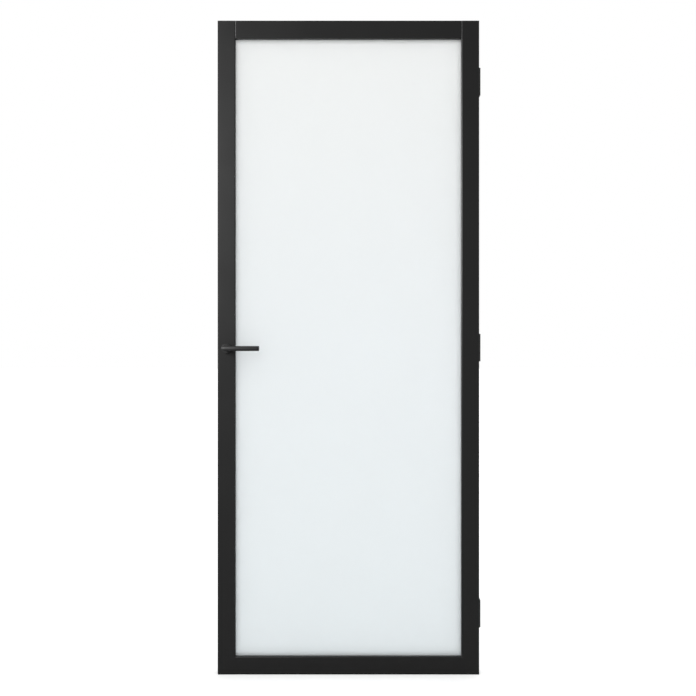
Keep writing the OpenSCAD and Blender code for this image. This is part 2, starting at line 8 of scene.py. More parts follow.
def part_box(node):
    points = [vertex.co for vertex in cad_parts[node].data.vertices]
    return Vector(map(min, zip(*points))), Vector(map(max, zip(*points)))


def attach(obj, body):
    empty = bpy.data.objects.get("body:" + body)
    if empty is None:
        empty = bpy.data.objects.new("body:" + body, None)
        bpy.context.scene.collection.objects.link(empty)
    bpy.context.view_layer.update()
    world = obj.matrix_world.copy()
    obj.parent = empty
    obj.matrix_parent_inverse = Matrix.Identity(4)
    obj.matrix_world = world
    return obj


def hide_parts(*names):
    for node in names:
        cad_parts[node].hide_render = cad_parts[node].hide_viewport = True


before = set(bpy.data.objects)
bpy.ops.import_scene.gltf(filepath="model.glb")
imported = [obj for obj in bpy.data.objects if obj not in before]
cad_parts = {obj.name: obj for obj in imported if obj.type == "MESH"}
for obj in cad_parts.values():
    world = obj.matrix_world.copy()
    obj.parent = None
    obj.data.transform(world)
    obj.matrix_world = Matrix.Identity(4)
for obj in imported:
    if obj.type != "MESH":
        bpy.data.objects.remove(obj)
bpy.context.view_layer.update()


# Stiles and rails: one hollow aluminium profile with a glazing groove along its inner edge, sawn to
# length and powder coated matt black. The stiles run the whole height, the rails stand between them,
# and the top joints are V grooves, while the bottom ones are closed.
stile_low, stile_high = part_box("hinge_stile")
inner, edge, half_t = stile_low.x, stile_high.x, stile_high.y
face_w, cap_t = edge - inner, stile_low.z
leaf_h = stile_high.z + cap_t
groove_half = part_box("back_gasket")[1].y
groove_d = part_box("edge_spacers")[1].x - inner
wall = 0.002
edge_wall = 0.0045
edge_r = 0.001
joint_c = 0.002
joint_d = 0.0013
past = 0.001
slip = 0.0001


def rounded(shape, edges, radius, segments=3):
    """Rounds these edges of a shape, or chamfers them with one segment."""
    made = bmesh.ops.bevel(
        shape, geom=edges, offset=radius, affect="EDGES", segments=segments, profile=0.5, material=-1
    )
    for face in made["faces"]:
        face.smooth = segments > 1
    return shape


def bar(outline, length):
    """A bar along Z with this outline."""
    shape = bmesh.new()
    end = shape.faces.new([shape.verts.new((x, y, 0)) for x, y in outline])
    grown = bmesh.ops.extrude_face_region(shape, geom=[end])["geom"]
    far = [part for part in grown if isinstance(part, bmesh.types.BMVert)]
    bmesh.ops.translate(shape, verts=far, vec=(0, 0, length))
    bmesh.ops.recalc_face_normals(shape, faces=shape.faces)
    return shape


def block(low, high, radius=0):
    """A box from corner to corner, with its edges rounded."""
    low, high = Vector(low), Vector(high)
    shape = bmesh.new()
    bmesh.ops.create_cube(shape, size=1)
    bmesh.ops.scale(shape, verts=shape.verts, vec=high - low)
    bmesh.ops.translate(shape, verts=shape.verts, vec=(low + high) / 2)
    return rounded(shape, shape.edges[:], radius) if radius else shape


def place(shape, matrix):
    """Moves a shape. One that is mirrored keeps its faces outwards."""
    bmesh.ops.transform(shape, matrix=matrix, verts=shape.verts)
    if matrix.determinant() < 0:
        bmesh.ops.reverse_faces(shape, faces=shape.faces)
    return shape


def rod(start, end, diameter, end_diameter=None, sides=48):
    """A cylinder or cone from one point to the other."""
    start, end = Vector(start), Vector(end)
    shape = bmesh.new()
    bmesh.ops.create_cone(
        shape,
        cap_ends=True,
        segments=sides,
        radius1=diameter / 2,
        radius2=(diameter if end_diameter is None else end_diameter) / 2,
        depth=(end - start).length,
    )
    turn = Vector((0, 0, 1)).rotation_difference(end - start).to_matrix().to_4x4()
    for face in shape.faces:
        face.smooth = len(face.verts) == 4
    return place(shape, Matrix.Translation((start + end) / 2) @ turn)


def loose(shape):
    """A shape as an object in the scene."""
    mesh = bpy.data.meshes.new("shape")
    shape.to_mesh(mesh)
    shape.free()
    found = bpy.data.objects.new("shape", mesh)
    bpy.context.scene.collection.objects.link(found)
    return found


def joined(shape, others, operation="DIFFERENCE"):
    """The shape with the others cut out of it, or united with it."""
    found = loose(shape)
    tools = [loose(other) for other in others]
    for tool in tools:
        step = found.modifiers.new("step", "BOOLEAN")
        step.operation = operation
        step.solver = "EXACT"
        step.object = tool
    whole = bmesh.new()
    whole.from_mesh(found.evaluated_get(bpy.context.evaluated_depsgraph_get()).to_mesh())
    for used in (found, *tools):
        bpy.data.objects.remove(used)
    return whole


def piece(name, shape, material, slot, body, *nodes):
    """A finished piece on its body, in place of the plain nodes."""
    found = loose(shape)
    found.name = found.data.name = name
    found.data.materials.clear()
    found.data.materials.append(material)
    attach(found, body)
    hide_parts(*nodes)
    return found


def surface(name, dark, light, grain, rough, bump, metal=0.0, stretch=(1, 1, 1), specular=0.5):
    """A finish with a grain of this size in metres: two colours, two roughnesses and a bump height."""
    material = bpy.data.materials.new(name)
    material.use_nodes = True
    nodes, links = material.node_tree.nodes, material.node_tree.links
    shader = nodes["Principled BSDF"]
    shader.inputs["Metallic"].default_value = metal
    shader.inputs["Specular IOR Level"].default_value = specular
    coords = nodes.new("ShaderNodeTexCoord")
    scale = nodes.new("ShaderNodeMapping")
    scale.inputs["Scale"].default_value = stretch
    links.new(coords.outputs["Object"], scale.inputs["Vector"])
    fine = nodes.new("ShaderNodeTexNoise")
    fine.inputs["Scale"].default_value = 1 / grain
    fine.inputs["Detail"].default_value = 3
    broad = nodes.new("ShaderNodeTexNoise")
    broad.inputs["Scale"].default_value = 6
    broad.inputs["Detail"].default_value = 2
    links.new(scale.outputs["Vector"], fine.inputs["Vector"])
    links.new(coords.outputs["Object"], broad.inputs["Vector"])
    tone = nodes.new("ShaderNodeValToRGB")
    tone.color_ramp.elements[0].position = 0.35
    tone.color_ramp.elements[1].position = 0.65
    tone.color_ramp.elements[0].color = (*dark, 1)
    tone.color_ramp.elements[1].color = (*light, 1)
    links.new(fine.outputs["Fac"], tone.inputs["Fac"])
    links.new(tone.outputs["Color"], shader.inputs["Base Color"])
    sheen = nodes.new("ShaderNodeMapRange")
    sheen.inputs["From Min"].default_value = 0.3
    sheen.inputs["From Max"].default_value = 0.7
    sheen.inputs["To Min"].default_value = rough[0]
    sheen.inputs["To Max"].default_value = rough[1]
    links.new(broad.outputs["Fac"], sheen.inputs["Value"])
    links.new(sheen.outputs["Result"], shader.inputs["Roughness"])
    relief = nodes.new("ShaderNodeBump")
    relief.inputs["Strength"].default_value = 0.5
    relief.inputs["Distance"].default_value = bump
    links.new(fine.outputs["Fac"], relief.inputs["Height"])
    links.new(relief.outputs["Normal"], shader.inputs["Normal"])
    return material


def profile_bar(length):
    """The profile's solid outline along Z: x from its inner edge, y through the leaf."""
    return bar(
        [
            (0, -half_t), (face_w, -half_t), (face_w, half_t), (0, half_t),
            (0, groove_half), (groove_d, groove_half), (groove_d, -groove_half), (0, -groove_half),
        ],
        length,
    )  # fmt: skip


def chambers(start, end, shrink=0.0):
    """The profile's three chambers, from start to end along Z."""
    depth = half_t - wall - shrink
    lip_x0, lip_x1 = wall + shrink, groove_d - shrink
    found = [
        block((groove_d + wall + shrink, -depth, start), (face_w - edge_wall - shrink, depth, end))
    ]
    for low, high in ((groove_half + wall + shrink, depth), (-depth, -groove_half - wall - shrink)):
        found.append(block((lip_x0, low, start), (lip_x1, high, end)))
    return found


def corner_edges(shape, x, low=-1.0, high=10.0):
    """The edges along Z at this x on the front and back faces, between two heights."""
    return [
        e
        for e in shape.edges
        if all(abs(v.co.x - x) < slip and abs(abs(v.co.y) - half_t) < slip for v in e.verts)
        and abs(e.verts[0].co.z - e.verts[1].co.z) > slip
        and all(low < v.co.z < high for v in e.verts)
    ]


def end_edges(shape, heights):
    """The edges across the front and back faces at these heights."""
    return [
        e
        for e in shape.edges
        if all(abs(abs(v.co.y) - half_t) < slip for v in e.verts)
        and abs(e.verts[0].co.x - e.verts[1].co.x) > slip
        and any(all(abs(v.co.z - z) < slip for v in e.verts) for z in heights)
    ]


def open_joint_edges(shape, edges):
    """Chamfers edges for a joint's wide and shallow V groove."""
    rounded(shape, edges, joint_c, 1)
    for vert in shape.verts:
        if abs(abs(vert.co.y) - half_t + joint_c) < slip:
            vert.co.y = math.copysign(half_t - joint_d, vert.co.y)


def stile_bar():
    """A stile without its holes, with the joint's chamfer above the bottom rail."""
    shape = profile_bar(leaf_h - 2 * cap_t)
    joint_z = face_w - cap_t
    bmesh.ops.bisect_plane(
        shape, geom=shape.verts[:] + shape.edges[:] + shape.faces[:],
        plane_co=(0, 0, joint_z), plane_no=(0, 0, 1),
    )  # fmt: skip
    open_joint_edges(shape, corner_edges(shape, 0, low=joint_z - slip))
    return rounded(shape, corner_edges(shape, face_w), edge_r)


def rail_bar(open_joint):
    """A rail without its chambers. An open joint has its ends chamfered."""
    length = 2 * inner
    shape = profile_bar(length)
    ends = end_edges(shape, (0, length)) if open_joint else []
    open_joint_edges(shape, corner_edges(shape, 0) + ends)
    return rounded(shape, corner_edges(shape, face_w), edge_r)


upright = Matrix.Translation((inner, 0, cap_t))
mirror_x = Matrix.Scale(-1, 4, (1, 0, 0))
top_side = Matrix(((0, 0, 1, -inner), (0, 1, 0, 0), (1, 0, 0, leaf_h - face_w), (0, 0, 0, 1)))
bottom_side = Matrix(((0, 0, 1, -inner), (0, 1, 0, 0), (-1, 0, 0, face_w), (0, 0, 0, 1)))

powder_coat = surface(
    "black_powder_coat", (0.0012, 0.0012, 0.0012), (0.0022, 0.0022, 0.0022),
    grain=0.0009, rough=(0.39, 0.44), bump=0.00004, specular=0.17,
)  # fmt: skip

cleat_low, cleat_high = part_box("top_left_cleat")
screw_z = (cleat_low.z + cleat_high.z) / 2
screw_dz = 0.0075
access_z = [z + dz for z in (leaf_h - screw_z, screw_z) for dz in (-screw_dz, screw_dz)]
access_d = 0.012


def access_holes(side):
    """The holes in a stile's edge that lead to the cleat screws."""
    return [
        rod((side * (edge - edge_wall - past), 0, z), (side * (edge + past), 0, z), access_d)
        for z in access_z
    ]


def through_chambers(length):
    """The chambers of a bar of this length, past both its ends."""
    return chambers(-past, length + past)


plate_low, plate_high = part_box("lock_faceplate")
case_low, case_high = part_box("lock_case")
rose_low, rose_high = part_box("back_rose_cover")
lever_x, lever_z = (rose_low.x + rose_high.x) / 2, (rose_low.z + rose_high.z) / 2
spindle_bore_d = 0.015
room = Vector((slip, slip, slip))
lock_cuts = [
    block((-edge - past, plate_low.y - slip, plate_low.z - slip), plate_high + room),
    block(
        (-edge - past, -case_high.y - slip, case_low.z - slip),
        (-edge + edge_wall + past, case_high.y + slip, case_high.z + slip),
    ),
    rod(
        (lever_x, -half_t - past, lever_z), (lever_x, half_t + past, lever_z), spindle_bore_d
    ),
]
hinge_names = ("bottom", "middle", "top")
hinge_cuts = []
for hinge in hinge_names:
    low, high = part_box(hinge + "_door_leaf")
    hinge_cuts.append(
        block((low.x, low.y - slip, low.z - slip), (edge + past, half_t + past, high.z + slip))
    )

stile_length = leaf_h - 2 * cap_t
stile = joined(stile_bar(), through_chambers(stile_length))
lock_stile = joined(place(stile, mirror_x @ upright), access_holes(-1) + lock_cuts)
piece("lock_stile_profile", lock_stile, powder_coat, "black_frame", "leaf", "lock_stile")
stile = joined(stile_bar(), through_chambers(stile_length))
hinge_stile = joined(place(stile, upright), access_holes(1) + hinge_cuts)
piece("hinge_stile_profile", hinge_stile, powder_coat, "black_frame", "leaf", "hinge_stile")
for name, side, open_joint in (("top_rail", top_side, True), ("bottom_rail", bottom_side, False)):
    rail = place(joined(rail_bar(open_joint), through_chambers(2 * inner)), side)
    piece(name + "_profile", rail, powder_coat, "black_frame", "leaf", name)


# Corner cleats and their screws: milled aluminium blocks pushed into the rails' ends. Two plated cap
# screws pull each against the stile, and two countersunk ones hold it in the rail.
def refinish(material, *names):
    """Gives a node that stays as it is its finish."""
    for name in names:
        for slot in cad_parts[name].material_slots:
            slot.material = material


milled = surface(
    "milled_aluminium", (0.5, 0.51, 0.52), (0.68, 0.69, 0.7),
    grain=0.0012, rough=(0.3, 0.42), bump=0.00002, metal=1, stretch=(12, 1, 1),
)  # fmt: skip
zinc_plate = surface(
    "bright_zinc_plate", (0.55, 0.57, 0.6), (0.72, 0.73, 0.72),
    grain=0.0015, rough=(0.2, 0.32), bump=0.00001, metal=1,
)  # fmt: skip
refinish(milled, *(f"{end}_{side}_cleat" for end in ("top", "bottom") for side in ("left", "right")))
refinish(zinc_plate, "cleat_screws", "rail_screws", "cover_screws", "rose_screws")


# End caps and access plugs: black moulded nylon. A cap closes each end of a stile, with three plugs
# pressed into its chambers. A plug shuts each hole that leads to a cleat screw.
cap_plug = 0.008
cap_r = 0.0003
plug_r = 0.0005


def gathered(shapes):
    """Separate shapes as one, for a group of like pieces."""
    whole = bmesh.new()
    for shape in shapes:
        mesh = bpy.data.meshes.new("shape")
        shape.to_mesh(mesh)
        shape.free()
        whole.from_mesh(mesh)
        bpy.data.meshes.remove(mesh)
    return whole


def end_cap(open_joint):
    """A cap as it lies on the right-hand stile's top end, from z = 0 up."""
    shape = bar([(0, -half_t), (face_w, -half_t), (face_w, half_t), (0, half_t)], cap_t)
    if open_joint:
        open_joint_edges(shape, corner_edges(shape, 0))
    rounded(shape, corner_edges(shape, face_w), edge_r)
    rim = [e for e in shape.edges if all(v.co.z > cap_t - slip for v in e.verts)]
    rounded(shape, rim, cap_r, 2)
    return gathered([shape, *chambers(-cap_plug, slip, shrink=slip)])


moulded = surface(
    "moulded_black_nylon", (0.009, 0.009, 0.0092), (0.012, 0.012, 0.0122),
    grain=0.0006, rough=(0.5, 0.58), bump=0.00004, specular=0.35,
)  # fmt: skip
to_top = Matrix.Translation((inner, 0, leaf_h - cap_t))
to_bottom = Matrix.Translation((inner, 0, cap_t)) @ Matrix.Scale(-1, 4, (0, 0, 1))
for end, matrix in (("top", to_top), ("bottom", to_bottom)):
    for side, mirrored in (("left", mirror_x), ("right", Matrix.Identity(4))):
        node = f"{end}_{side}_cap"
        cap = place(end_cap(end == "top"), mirrored @ matrix)
        piece(node + "_moulding", cap, moulded, "black_plastic", "leaf", node)

plugs = []
for side in (-1, 1):
    for z in access_z:
        plug = rod((side * (edge - edge_wall), 0, z), (side * edge, 0, z), access_d - slip)
        rim = [e for e in plug.edges if all(abs(abs(v.co.x) - edge) < slip for v in e.verts)]
        plugs.append(rounded(plug, rim, plug_r))
piece("access_plug_mouldings", gathered(plugs), moulded, "black_plastic", "leaf", "access_plugs")


# Glass: one 8 mm toughened pane, its faces acid etched to an even satin and its edges ground. It
# stands on two hard rubber blocks in the groove, and spacers keep it off the sides and the top.
arris = 0.0008
pane = block(*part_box("glass_pane"), arris)

satin = bpy.data.materials.new("satin_etched_glass")
satin.use_nodes = True
nodes, links = satin.node_tree.nodes, satin.node_tree.links
shader = nodes["Principled BSDF"]
shader.inputs["IOR"].default_value = 1.5
shader.inputs["Transmission Weight"].default_value = 0.45
shader.inputs["Specular IOR Level"].default_value = 0.5
coords = nodes.new("ShaderNodeTexCoord")
split = nodes.new("ShaderNodeSeparateXYZ")
links.new(coords.outputs["Object"], split.inputs["Vector"])
# Painted shade: the pane's own pale colour with a shading painted along its height, bluer and lighter
# at the bottom and greyer and darker at the top, standing in for how the light falls on and through the
# pane.
height = nodes.new("ShaderNodeMapRange")
height.inputs["From Max"].default_value = leaf_h
links.new(split.outputs["Z"], height.inputs["Value"])
glass_colour_and_painted_shade = nodes.new("ShaderNodeValToRGB")
glass_colour_and_painted_shade.color_ramp.elements[0].color = (0.75, 0.791, 0.805, 1)
glass_colour_and_painted_shade.color_ramp.elements[1].color = (0.726, 0.737, 0.733, 1)
glass_colour_and_painted_shade.color_ramp.elements.new(0.5).color = (0.74, 0.769, 0.78, 1)
links.new(height.outputs["Result"], glass_colour_and_painted_shade.inputs["Fac"])
links.new(glass_colour_and_painted_shade.outputs["Color"], shader.inputs["Base Color"])
etch = nodes.new("ShaderNodeTexNoise")
etch.inputs["Scale"].default_value = 2500
etch.inputs["Detail"].default_value = 2
links.new(coords.outputs["Object"], etch.inputs["Vector"])
haze = nodes.new("ShaderNodeMapRange")
haze.inputs["To Min"].default_value = 0.62
haze.inputs["To Max"].default_value = 0.72
links.new(etch.outputs["Fac"], haze.inputs["Value"])
links.new(haze.outputs["Result"], shader.inputs["Roughness"])
relief = nodes.new("ShaderNodeBump")
relief.inputs["Strength"].default_value = 0.3
relief.inputs["Distance"].default_value = 0.00001
links.new(etch.outputs["Fac"], relief.inputs["Height"])
links.new(relief.outputs["Normal"], shader.inputs["Normal"])
glass = piece("satin_pane", pane, satin, "satin_glass", "leaf", "glass_pane")


# Gaskets: black EPDM strips pushed in between the glass and each lip of the groove, mitred at the
# corners. The edge that shows is chamfered.
strip_c = 0.0012
glass_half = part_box("glass_pane")[1].y
strip_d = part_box("back_gasket")[1].x - inner
strip_r = 0.0004
mirror_y = Matrix.Scale(-1, 4, (0, 1, 0))


def opening(grow, y):
    """The corners of the glazed opening, grown by this much."""
    x, z0, z1 = inner + grow, face_w - grow, leaf_h - face_w + grow
    return [(-x, y, z0), (x, y, z0), (x, y, z1), (-x, y, z1)]


def strip():
    """The four strips behind the back lip, as one closed frame."""
    shape = bmesh.new()
    loops = []
    section = [
        (0, glass_half + strip_c), (strip_c, glass_half), (strip_d, glass_half),
        (strip_d, groove_half), (0, groove_half),
    ]  # fmt: skip
    for grow, y in section:
        verts = [shape.verts.new(co) for co in opening(grow, y)]
        loops.append([shape.edges.new(pair) for pair in zip(verts, verts[1:] + verts[:1])])
    for one, other in zip(loops, loops[1:] + loops[:1]):
        bmesh.ops.bridge_loops(shape, edges=one + other)
    bmesh.ops.recalc_face_normals(shape, faces=shape.faces)
    return rounded(shape, loops[0], strip_r, 2)


rubber = surface(
    "black_rubber", (0.012, 0.012, 0.012), (0.018, 0.018, 0.018),
    grain=0.0007, rough=(0.6, 0.7), bump=0.00003, specular=0.35,
)  # fmt: skip
piece("back_glazing_strip", strip(), rubber, "black_rubber", "leaf", "back_gasket")
piece("front_glazing_strip", place(strip(), mirror_y), rubber, "black_rubber", "leaf", "front_gasket")
refinish(rubber, "setting_blocks", "edge_spacers")


# Lock: a plated sheet steel case behind a black faceplate that is let into the stile's edge. Its
# follower draws the carriage back, and the ground steel bolt lies flush until a magnet pulls it out.
def screw(diameter, length):
    """A countersunk screw along +Z with its head at z = 0 and a hexagon socket."""
    head = 2 * diameter
    cone = (head - diameter) / 2
    rim = 0.0001
    shank = rod((0, 0, -length), (0, 0, -cone / 2), diameter)
    top = rod((0, 0, -2 * rim), (0, 0, 0), head - rim)
    body = joined(rod((0, 0, -cone), (0, 0, -rim), diameter, head), [shank, top], "UNION")
    socket_d = 1.25 * diameter
    socket_depth = 0.6 * diameter
    return joined(body, [rod((0, 0, -socket_depth), (0, 0, past), socket_d, sides=6)])


def countersink(diameter, depth):
    """What a hole for such a screw takes out of a plate whose face is at z = 0."""
    bore = diameter + 2 * slip
    head = 2 * diameter + 2 * slip
    cone = (head - bore) / 2
    return joined(
        rod((0, 0, -depth), (0, 0, -cone / 2), bore),
        [rod((0, 0, -cone), (0, 0, 0), bore, head), rod((0, 0, -slip / 2), (0, 0, past), head)],
        "UNION",
    )


plate_r = 0.0004
plate_screw_d = 0.0035
plate_screw_len = 0.009
sink_depth = 0.006
bolt_low, bolt_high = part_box("latch_bolt")
bolt_play = 0.0003
play = Vector((past, bolt_play, bolt_play))
screw_low, screw_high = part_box("faceplate_screws")
plate_turn = Matrix.Rotation(-math.pi / 2, 4, "Y")
screw_spots = [
    Matrix.Translation((-edge, 0, z)) @ plate_turn
    for z in (screw_low.z + plate_screw_d, screw_high.z - plate_screw_d)
]
plate = joined(
    block(plate_low, plate_high, plate_r),
    [block(bolt_low - play, bolt_high + play)]
    + [place(countersink(plate_screw_d, sink_depth), spot) for spot in screw_spots],
)
piece("faceplate", plate, powder_coat, "black_plate", "leaf", "lock_faceplate")
plate_screws = gathered([place(screw(plate_screw_d, plate_screw_len), spot) for spot in screw_spots])

black_zinc = surface(
    "black_zinc_plate", (0.02, 0.02, 0.021), (0.035, 0.035, 0.036),
    grain=0.0008, rough=(0.32, 0.4), bump=0.00001, metal=0.6,
)  # fmt: skip
piece("faceplate_screw_set", plate_screws, black_zinc, "black_plate", "leaf", "faceplate_screws")

ground = surface(
    "ground_steel", (0.42, 0.43, 0.45), (0.6, 0.61, 0.62),
    grain=0.0004, rough=(0.22, 0.3), bump=0.00001, metal=1, stretch=(1, 1, 10),
)  # fmt: skip
sheet_steel = surface(
    "plated_sheet_steel", (0.5, 0.51, 0.52), (0.64, 0.65, 0.65),
    grain=0.0018, rough=(0.3, 0.42), bump=0.00001, metal=1,
)  # fmt: skip
spring_steel = surface(
    "spring_steel", (0.32, 0.33, 0.35), (0.5, 0.51, 0.53),
    grain=0.0004, rough=(0.25, 0.35), bump=0.00001, metal=1,
)  # fmt: skip
carriage_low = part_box("latch_carriage")[0]
spring_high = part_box("bolt_spring")[1]
bolt_r = 0.0006
pocket_half = 0.0025
pocket_h = 0.0045
pocket = block(
    (carriage_low.x - bolt_play, -pocket_half, bolt_low.z - past),
    (spring_high.x, pocket_half, bolt_low.z + pocket_h),
)
bolt = joined(block(bolt_low, bolt_high, bolt_r), [pocket])
piece("ground_bolt", bolt, ground, "bolt_steel", "bolt", "latch_bolt")
refinish(sheet_steel, "lock_case", "lock_cover", "latch_carriage")
refinish(milled, "follower")
refinish(spring_steel, "bolt_spring", "front_rose_spring", "back_rose_spring")


# Lever set: on each face a rose on a screwed base, and an L of round steel bar with a mitred corner,
# coated matt black. The levers share a square spindle, and a socket grub screw holds each on it.
lever_low, lever_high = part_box("back_lever")
lever_d = lever_high.z - lever_low.z
lever_r = lever_d / 2
grip_y = lever_high.y - lever_r
tip_x = lever_high.x
tip_r = 0.0009
mitre_r = 0.0004
spindle_low, spindle_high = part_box("spindle")


def ring(shape, verts, move):
    """Grows an open end on to where move puts each of its corners."""
    edges = list({e for v in verts for e in v.link_edges if all(w in verts for w in e.verts)})
    grown = bmesh.ops.extrude_edge_only(shape, edges=edges)["geom"]
    ends = [part for part in grown if isinstance(part, bmesh.types.BMVert)]
    for vert in ends:
        vert.co = move(vert.co)
    return ends


def turn_of(axis):
    """Sorts an end's corners round the bar's own axis."""
    if axis == "y":
        return lambda v: math.atan2(v.co.z - lever_z, v.co.x - lever_x)
    return lambda v: math.atan2(v.co.z - lever_z, v.co.y - grip_y)


def lever():
    """The back lever: its neck along Y and its grip along X."""
    shape = bmesh.new()
    neck = bmesh.ops.create_circle(shape, radius=lever_r, segments=64)["verts"]
    flat = Matrix.Rotation(math.pi / 2, 4, "X")
    bmesh.ops.transform(
        shape, matrix=Matrix.Translation((lever_x, lever_low.y, lever_z)) @ flat, verts=neck
    )
    corner = ring(shape, neck, lambda co: Vector((co.x, grip_y - (co.x - lever_x), co.z)))
    corner_set = set(corner)
    tip = ring(shape, corner, lambda co: Vector((tip_x, co.y, co.z)))
    ends = [
        shape.faces.new(sorted(verts, key=turn_of(axis)))
        for verts, axis in ((neck, "y"), (tip, "x"))
    ]
    for face in shape.faces:
        face.smooth = face not in ends
    bmesh.ops.recalc_face_normals(shape, faces=shape.faces)
    mitre = [e for e in shape.edges if all(v in corner_set for v in e.verts)]
    rounded(shape, mitre, mitre_r, 2)
    rim = [e for e in shape.edges if all(abs(v.co.x - tip_x) < slip for v in e.verts)]
    return rounded(shape, rim, tip_r)


grub_y = 0.034
grub_d = 0.005


def lever_holes():
    """What is cut out of a lever: the square for the spindle and the hole for the grub screw."""
    return [
        rod((lever_x, grub_y, lever_z - lever_r - past), (lever_x, grub_y, lever_z), grub_d),
        block((spindle_low.x - slip, lever_low.y - past, spindle_low.z - slip), spindle_high + room),
    ]


lever_coat = surface(
    "black_lever_coat", (0.0065, 0.0065, 0.0066), (0.0085, 0.0085, 0.0086),
    grain=0.0006, rough=(0.38, 0.44), bump=0.00003, specular=0.12,
)  # fmt: skip
for side, turned in (("back", Matrix.Identity(4)), ("front", mirror_y)):
    shape = place(joined(lever(), lever_holes()), turned)
    piece(f"{side}_lever_bar", shape, lever_coat, "black_lever", "handle", f"{side}_lever")

rose_d = rose_high.x - rose_low.x
rose_wall = 0.001
rose_play = 0.0006
rose_r = 0.0009


def rose_rod(y0, y1, diameter):
    """A cylinder on the lever's axis."""
    return rod((lever_x, y0, lever_z), (lever_x, y1, lever_z), diameter, sides=96)


for side, turned in (("back", Matrix.Identity(4)), ("front", mirror_y)):
    shell = rose_rod(rose_low.y, rose_high.y, rose_d)
    rim = [e for e in shell.edges if all(v.co.y > rose_high.y - slip for v in e.verts)]
    rounded(shell, rim, rose_r)
    shell = joined(
        shell,
        [
            rose_rod(rose_low.y - past, rose_high.y - rose_wall, rose_d - 2 * rose_wall),
            rose_rod(rose_low.y - past, rose_high.y + past, lever_d + rose_play),
        ],
    )
    piece(f"{side}_rose", place(shell, turned), lever_coat, "black_lever", "leaf", f"{side}_rose_cover")

cast_zinc = surface(
    "cast_zinc", (0.45, 0.45, 0.47), (0.58, 0.58, 0.6),
    grain=0.001, rough=(0.4, 0.5), bump=0.00003, metal=1,
)  # fmt: skip
nylon = surface(
    "natural_nylon", (0.6, 0.59, 0.54), (0.68, 0.67, 0.62),
    grain=0.0012, rough=(0.42, 0.5), bump=0.00001,
)  # fmt: skip
refinish(cast_zinc, "front_rose_base", "back_rose_base")
refinish(nylon, "front_bush", "back_bush")
refinish(ground, "spindle", "grub_screws")


# Hinges: three steel butt hinges with matt black leaves of five knuckles, on a pin with domed heads
# and two bearing rings. The door's leaf is let into the stile and screwed to a plate inside it.
leaf_r = 0.0004
knuckle_r = 0.0006
pin_low, pin_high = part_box("bottom_hinge_pin")
frame_low, frame_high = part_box("bottom_frame_leaf")
axis_x, axis_y = (pin_low.x + pin_high.x) / 2, (pin_low.y + pin_high.y) / 2
knuckle_d = pin_high.x - pin_low.x
pin_d = 0.007
bore_d = pin_d + slip
hinge_h = frame_high.z - frame_low.z
door_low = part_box("bottom_door_leaf")[0]
hinge_t = edge - door_low.x
ring_t = 0.001
ring_gap = 0.0001
ring_r = 0.00015
knuckle_gap = 0.0003
knuckle_h = (hinge_h - 2 * ring_t - 2 * ring_gap - 2 * knuckle_gap) / 5
door_knuckles = [
    -hinge_h / 2 + knuckle_h + ring_t + ring_gap,
    -hinge_h / 2 + 3 * knuckle_h + 2 * ring_t + 2 * ring_gap + knuckle_gap,
]
frame_knuckles = [-hinge_h / 2] + [z + knuckle_h + knuckle_gap for z in door_knuckles]
door_screw_d = 0.0045
jamb_screw_d = 0.004
hinge_screw_len = 0.009
row_low, row_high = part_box("hinge_screws")
screw_y = (row_low.y + row_high.y) / 2
half_dy = 0.006
half_dz = 0.03
screw_spots = [(screw_y + y, z) for y in (-half_dy, half_dy) for z in (-half_dz, half_dz)]
plate_past = 0.0004
neck_t = 0.002


def pin_rod(z0, z1, diameter, rim_r):
    """A cylinder on the hinge's axis with both rims rounded."""
    shape = rod((axis_x, axis_y, z0), (axis_x, axis_y, z1), diameter, sides=64)
    rims = [e for e in shape.edges if abs(e.verts[0].co.z - e.verts[1].co.z) < slip]
    return rounded(shape, rims, rim_r)


def facing(y, z):
    """Turns a screw or its hole to stand on the stile's edge at this place."""
    return Matrix.Translation((edge, y, z)) @ Matrix.Rotation(math.pi / 2, 4, "Y")


def hinge_leaf(knuckles, screw_d):
    """The door's leaf of a hinge about z = 0. The frame's is its mirror image."""
    plate_y0, plate_y1 = door_low.y, half_t + plate_past
    shape = block((edge - hinge_t, plate_y0, -hinge_h / 2), (edge, plate_y1, hinge_h / 2), leaf_r)
    parts = []
    for z in knuckles:
        neck_low = (edge - hinge_t, plate_y1 - neck_t, z)
        parts.append(block(neck_low, (edge, axis_y, z + knuckle_h), leaf_r))
        parts.append(pin_rod(z, z + knuckle_h, knuckle_d, knuckle_r))
    whole = joined(shape, parts, "UNION")
    bore = pin_rod(-hinge_h, hinge_h, bore_d, slip)
    sinks = [place(countersink(screw_d, 2 * hinge_t), facing(y, z)) for y, z in screw_spots]
    return joined(whole, [bore, *sinks])


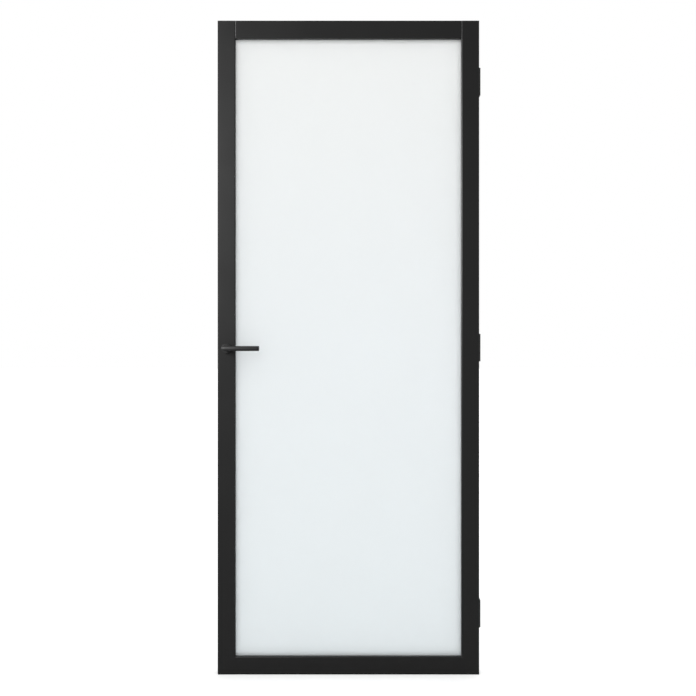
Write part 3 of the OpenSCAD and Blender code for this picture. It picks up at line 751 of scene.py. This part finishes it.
hinge_coat = surface(
    "black_hinge_coat", (0.0075, 0.0075, 0.0076), (0.01, 0.01, 0.0101),
    grain=0.0007, rough=(0.4, 0.46), bump=0.00003, specular=0.4,
)  # fmt: skip
polished = surface(
    "polished_steel", (0.55, 0.56, 0.57), (0.62, 0.63, 0.64),
    grain=0.0006, rough=(0.15, 0.22), bump=0.000004, metal=1,
)  # fmt: skip
plain_steel = surface(
    "plain_steel", (0.36, 0.37, 0.38), (0.5, 0.5, 0.51),
    grain=0.0015, rough=(0.35, 0.45), bump=0.00002, metal=1,
)  # fmt: skip
about_pin = Matrix.Translation((2 * axis_x, 0, 0)) @ mirror_x
pin_end = (pin_high.z - pin_low.z) / 2
head_h = pin_end - hinge_h / 2
dome_r = 0.8 * head_h
hinge_screws = []
for hinge in hinge_names:
    low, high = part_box(hinge + "_frame_leaf")
    up = Matrix.Translation((0, 0, (low.z + high.z) / 2))
    door_leaf = place(hinge_leaf(door_knuckles, door_screw_d), up)
    piece(
        hinge + "_hinge_door_plate", door_leaf, hinge_coat, "black_hinge", "leaf",
        hinge + "_door_leaf",
    )  # fmt: skip
    jamb_leaf = place(hinge_leaf(frame_knuckles, jamb_screw_d), up @ about_pin)
    piece(
        hinge + "_hinge_jamb_plate", jamb_leaf, hinge_coat, "black_hinge", "jamb_side",
        hinge + "_frame_leaf",
    )  # fmt: skip
    heads = []
    for end in (-1, 1):
        z0, z1 = sorted((end * hinge_h / 2, end * pin_end))
        head = rod((axis_x, axis_y, z0), (axis_x, axis_y, z1), knuckle_d, sides=64)
        rim = [e for e in head.edges if all(abs(abs(v.co.z) - pin_end) < slip for v in e.verts)]
        heads.append(rounded(head, rim, dome_r, 5))
    shank_end = pin_end - head_h / 2
    pin = joined(pin_rod(-shank_end, shank_end, pin_d, slip), heads, "UNION")
    piece(hinge + "_pin", place(pin, up), hinge_coat, "black_hinge", "jamb_side", hinge + "_hinge_pin")
    rings = gathered(
        [
            joined(
                pin_rod(z - ring_gap - ring_t, z - ring_gap, knuckle_d, ring_r),
                [pin_rod(z - 2 * ring_t, z + ring_t, bore_d, slip)],
            )
            for z in door_knuckles
        ]
    )
    rings = place(rings, up)
    piece(hinge + "_bearing_rings", rings, polished, "ring_steel", "jamb_side", hinge + "_rings")
    for y, z in screw_spots:
        hinge_screws.append(place(screw(door_screw_d, hinge_screw_len), up @ facing(y, z)))
    refinish(plain_steel, hinge + "_backing")
piece("hinge_screw_set", gathered(hinge_screws), black_zinc, "plated_screw", "leaf", "hinge_screws")


# Studio: a pale floor and an even white room, with two soft lamps up on the left that light the
# door's dark parts, and a wide one in front and above that lights the glass alone.
floor_size = 40
floor_shape = bmesh.new()
bmesh.ops.create_grid(floor_shape, x_segments=1, y_segments=1, size=floor_size)
floor = loose(floor_shape)
floor.name = "floor"
pale = bpy.data.materials.new("pale_floor")
pale.use_nodes = True
floor_shader = pale.node_tree.nodes["Principled BSDF"]
floor_shader.inputs["Base Color"].default_value = (0.93, 0.93, 0.93, 1)
floor_shader.inputs["Roughness"].default_value = 0.9
floor_shader.inputs["Emission Color"].default_value = (1, 1, 1, 1)
floor_shader.inputs["Emission Strength"].default_value = 0.3
floor.data.materials.append(pale)

world = bpy.data.worlds.new("studio")
world.use_nodes = True
world.node_tree.nodes["Background"].inputs["Color"].default_value = (1, 1, 1, 1)
world.node_tree.nodes["Background"].inputs["Strength"].default_value = 1.0
bpy.context.scene.world = world

aim = Vector((-0.1, 0, 1.3))
pale_things = (floor, glass)
lamps = (
    ("soft_lamp", (-1.68, -1.2, 1.9), 1.2, 116, pale_things, "EXCLUDE"),
    ("side_lamp", (-1.95, -0.86, 2.05), 1.2, 112, pale_things, "EXCLUDE"),
    ("glass_lamp", (-0.3, -2.6, 2.7), 2.4, 45, (glass,), "INCLUDE"),
)
for name, spot, across, power, things, state in lamps:
    lamp = bpy.data.objects.new(name, bpy.data.lights.new(name, "AREA"))
    lamp.data.size = across
    lamp.data.energy = power
    lamp.location = spot
    lamp.rotation_euler = (aim - lamp.location).to_track_quat("-Z", "Y").to_euler()
    bpy.context.scene.collection.objects.link(lamp)
    receivers = bpy.data.collections.new(name + "_receivers")
    for thing in things:
        receivers.objects.link(thing)
    lamp.light_linking.receiver_collection = receivers
    for linked in receivers.collection_objects:
        linked.light_linking.link_state = state

distance = 2.7
frame_width = 2.2346
shift = 0.0013
camera = bpy.data.objects.new("camera", bpy.data.cameras.new("camera"))
camera.location = (-shift, -half_t - distance, leaf_h / 2 - shift)
camera.rotation_euler = (math.pi / 2, 0, 0)
camera.data.lens = camera.data.sensor_width * distance / frame_width
bpy.context.scene.collection.objects.link(camera)
bpy.context.scene.camera = camera
bpy.context.scene.view_settings.view_transform = "Standard"
